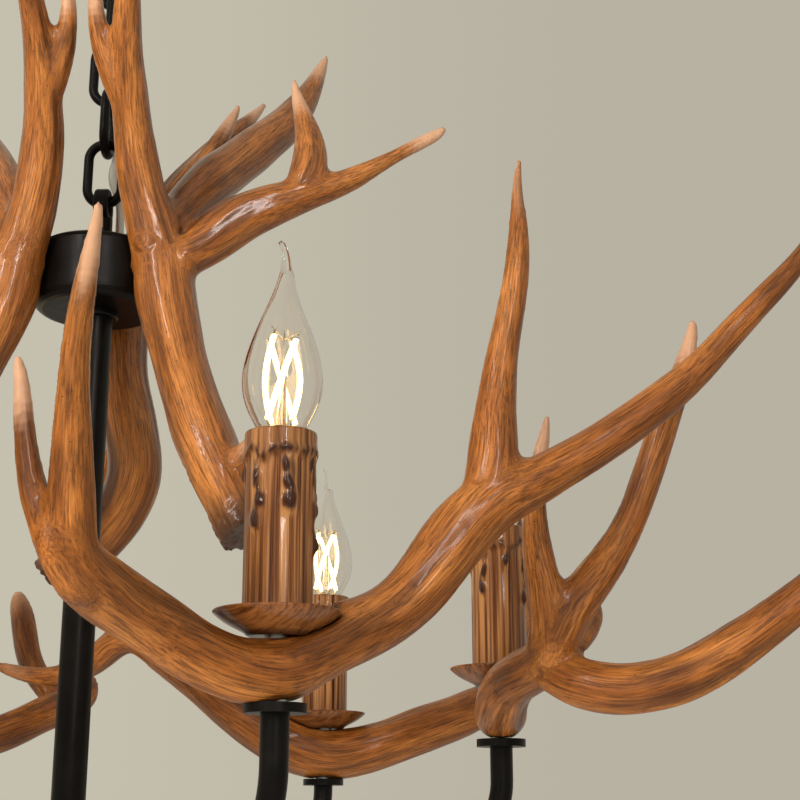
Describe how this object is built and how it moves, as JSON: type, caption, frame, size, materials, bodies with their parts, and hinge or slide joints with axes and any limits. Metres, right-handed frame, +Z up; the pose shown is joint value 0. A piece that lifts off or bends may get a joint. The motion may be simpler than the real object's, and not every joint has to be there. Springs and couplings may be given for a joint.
{
  "type": "antler chandelier",
  "caption": "Chain-hung chandelier of forked antlers round a black rod, with candle lights standing in drip dishes and flame-shaped bulbs.",
  "frame": {"origin": "centre of the ceiling bracket's top face, in the ceiling plane", "axes": "+Z up out of the ceiling, the centre rod runs down -Z; +X along the bracket"},
  "size_m": [0.8055, 0.7377, 0.745],
  "materials": {
    "antler": "cast resin antler, stained orange-brown with dark grain, gloss lacquer",
    "sleeve": "streaked tan and dark brown, gloss lacquer, with raised drips",
    "dish": "brown wood-like grain, gloss lacquer",
    "bulb_glass": "clear blown glass",
    "bulb_cap": "bright metal screw cap",
    "holder": "plain moulded plastic",
    "wire": "insulated wire",
    "clear_cable": "clear two-core cable",
    "zinc": "zinc-plated steel",
    "black_metal": "satin black paint"
  },
  "bodies": {
    "ceiling": {"ceiling_bracket": "zinc", "canopy": "black_metal", "canopy_fasteners": "black_metal", "canopy_hook": "black_metal", "terminal_block": "holder", "canopy_cable": "clear_cable"},
    "top_link": {"chain_top_link": "black_metal", "top_link_cable": "clear_cable"},
    "pendant": {"arm_1": "black_metal", "arm_2": "black_metal", "arm_3": "black_metal", "arm_4": "black_metal", "arm_5": "black_metal", "arm_6": "black_metal", "candle_sleeve_1": "sleeve", "candle_sleeve_2": "sleeve", "candle_sleeve_3": "sleeve", "candle_sleeve_4": "sleeve", "candle_sleeve_5": "sleeve", "candle_sleeve_6": "sleeve", "center_rod": "black_metal", "chain_links": "black_metal", "cradle_antler_1": "antler", "cradle_antler_2": "antler", "cradle_antler_3": "antler", "cradle_antler_4": "antler", "cradle_antler_5": "antler", "cradle_antler_6": "antler", "crown_antler_1": "antler", "crown_antler_2": "antler", "crown_antler_3": "antler", "crown_screws": "black_metal", "drip_dish_1": "dish", "drip_dish_2": "dish", "drip_dish_3": "dish", "drip_dish_4": "dish", "drip_dish_5": "dish", "drip_dish_6": "dish", "finial": "black_metal", "hub_cover": "black_metal", "hub_loop": "black_metal", "hub_shell": "black_metal", "lamp_holders": "holder", "lamp_tubes": "zinc", "lamp_wires": "wire", "lock_nuts": "black_metal", "lower_hub": "black_metal", "supply_cable": "clear_cable"},
    "bulb_1": {"bulb_cap_1": "bulb_cap", "bulb_glass_1": "bulb_glass"},
    "bulb_2": {"bulb_cap_2": "bulb_cap", "bulb_glass_2": "bulb_glass"},
    "bulb_3": {"bulb_cap_3": "bulb_cap", "bulb_glass_3": "bulb_glass"},
    "bulb_4": {"bulb_cap_4": "bulb_cap", "bulb_glass_4": "bulb_glass"},
    "bulb_5": {"bulb_cap_5": "bulb_cap", "bulb_glass_5": "bulb_glass"},
    "bulb_6": {"bulb_cap_6": "bulb_cap", "bulb_glass_6": "bulb_glass"}
  },
  "joints": [
    {"name": "top_link_swing", "type": "hinge", "parent": "ceiling", "child": "top_link", "pos_m": [0, 0, -0.10025], "axis": [0, 1, 0], "range_deg": [-8, 8]},
    {"name": "pendant_swing", "type": "hinge", "parent": "top_link", "child": "pendant", "pos_m": [0, 0, -0.1287], "axis": [1, 0, 0], "range_deg": [-8, 8]},
    {"name": "bulb_1_slide", "type": "slide", "parent": "pendant", "child": "bulb_1", "axis": [0, 0, 1], "range_m": [0, 0.03]},
    {"name": "bulb_2_slide", "type": "slide", "parent": "pendant", "child": "bulb_2", "axis": [0, 0, 1], "range_m": [0, 0.03]},
    {"name": "bulb_3_slide", "type": "slide", "parent": "pendant", "child": "bulb_3", "axis": [0, 0, 1], "range_m": [0, 0.03]},
    {"name": "bulb_4_slide", "type": "slide", "parent": "pendant", "child": "bulb_4", "axis": [0, 0, 1], "range_m": [0, 0.03]},
    {"name": "bulb_5_slide", "type": "slide", "parent": "pendant", "child": "bulb_5", "axis": [0, 0, 1], "range_m": [0, 0.03]},
    {"name": "bulb_6_slide", "type": "slide", "parent": "pendant", "child": "bulb_6", "axis": [0, 0, 1], "range_m": [0, 0.03]}
  ]
}
